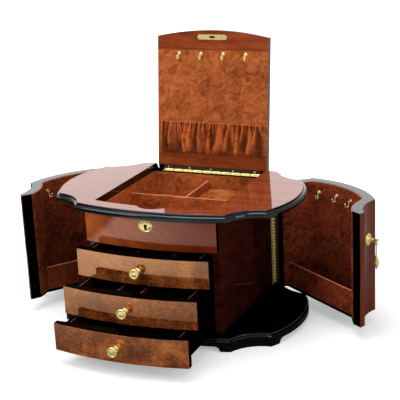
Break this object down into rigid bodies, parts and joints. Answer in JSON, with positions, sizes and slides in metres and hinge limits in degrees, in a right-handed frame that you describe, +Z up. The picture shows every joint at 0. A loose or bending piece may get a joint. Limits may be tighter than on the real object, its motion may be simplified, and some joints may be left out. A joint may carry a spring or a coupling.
{
  "type": "jewelry box",
  "caption": "Footed wooden jewelry box with a hinged lid over a lined tray, pull-out drawers with knobs, and curved side doors that swing open on piano hinges.",
  "frame": {"origin": "centre of the box's plan on the floor, on the plane of the feet", "axes": "+Z up, drawers open towards -Y, +X to the right of someone who faces the drawers"},
  "size_m": [0.6362, 0.4604, 0.4696],
  "materials": {
    "black_lacquer": "gloss black lacquer",
    "burl_veneer": "high gloss burl veneer",
    "red_veneer": "high gloss reddish veneer",
    "suede": "rust brown suede",
    "brass": "polished brass"
  },
  "bodies": {
    "case": {"base_plate": "black_lacquer", "case_side_left": "black_lacquer", "case_side_right": "black_lacquer", "case_back": "black_lacquer", "case_shelf_lower": "black_lacquer", "case_shelf_upper": "black_lacquer", "fascia_board": "black_lacquer", "fascia_veneer": "burl_veneer", "lock_case": "brass", "escutcheon": "brass", "top_plate": "black_lacquer", "top_veneer": "red_veneer", "tray_liner": "suede", "tray_dividers": "suede", "ring_roll_pad": "suede", "lid_hinge_leaf_fixed": "brass", "door_hinge_fixed_left": "brass", "door_hinge_fixed_right": "brass"},
    "lid": {"lid_board": "black_lacquer", "lid_veneer": "red_veneer", "lid_rail_front": "suede", "lid_rail_rear": "suede", "lid_lining": "suede", "lid_pocket": "suede", "lid_hooks": "brass", "strike_plate": "brass", "lid_hinge_leaf_moving": "brass"},
    "lock_bolt": {"lock_bolt": "brass"},
    "drawer_bottom": {"drawer_bottom_box": "black_lacquer", "drawer_bottom_front": "black_lacquer", "drawer_bottom_veneer": "burl_veneer", "drawer_bottom_lining": "suede", "drawer_bottom_knob": "brass"},
    "drawer_middle": {"drawer_middle_box": "black_lacquer", "drawer_middle_front": "black_lacquer", "drawer_middle_veneer": "burl_veneer", "drawer_middle_lining": "suede", "drawer_middle_knob": "brass"},
    "drawer_top": {"drawer_top_box": "black_lacquer", "drawer_top_front": "black_lacquer", "drawer_top_veneer": "burl_veneer", "drawer_top_lining": "suede", "drawer_top_knob": "brass"},
    "door_left": {"door_shell_left": "black_lacquer", "door_veneer_left": "burl_veneer", "door_lining_left": "suede", "door_pocket_panel_left": "suede", "door_hooks_left": "brass", "door_hinge_leaf_left": "brass", "door_pull_mount_left": "brass"},
    "pendant_left": {"door_pull_pendant_left": "brass"},
    "door_right": {"door_shell_right": "black_lacquer", "door_veneer_right": "burl_veneer", "door_lining_right": "suede", "door_pocket_panel_right": "suede", "door_hooks_right": "brass", "door_hinge_leaf_right": "brass", "door_pull_mount_right": "brass"},
    "pendant_right": {"door_pull_pendant_right": "brass"}
  },
  "joints": [
    {"name": "lid_hinge", "type": "hinge", "parent": "case", "child": "lid", "pos_m": [0, 0.1364, 0.2176], "axis": [1, 0, 0], "range_deg": [0, 96.9]},
    {"name": "drawer_bottom_slide", "type": "slide", "parent": "case", "child": "drawer_bottom", "axis": [0, 1, 0], "range_m": [-0.0248, 0.1252]},
    {"name": "drawer_middle_slide", "type": "slide", "parent": "case", "child": "drawer_middle", "axis": [0, 1, 0], "range_m": [-0.0628, 0.0872]},
    {"name": "drawer_top_slide", "type": "slide", "parent": "case", "child": "drawer_top", "axis": [0, 1, 0], "range_m": [-0.1138, 0.0362]},
    {"name": "door_left_hinge", "type": "hinge", "parent": "case", "child": "door_left", "pos_m": [-0.1236, 0.119, 0.12], "axis": [0, 0, 1], "range_deg": [-42.8, 37.2]},
    {"name": "door_right_hinge", "type": "hinge", "parent": "case", "child": "door_right", "pos_m": [0.1236, 0.119, 0.12], "axis": [0, 0, 1], "range_deg": [-54.7, 25.3]},
    {"name": "pendant_left_swing", "type": "hinge", "parent": "door_left", "child": "pendant_left", "pos_m": [-0.29506, -0.03123, 0.155], "axis": [-0.4712, 0.882, 0], "range_deg": [0, 100]},
    {"name": "pendant_right_swing", "type": "hinge", "parent": "door_right", "child": "pendant_right", "pos_m": [0.3323, 0.02728, 0.155], "axis": [-0.1842, -0.9829, 0], "range_deg": [0, 100]},
    {"name": "lock_bolt_slide", "type": "slide", "parent": "case", "child": "lock_bolt", "axis": [0, 0, 1], "range_m": [0, 0.0055]}
  ]
}
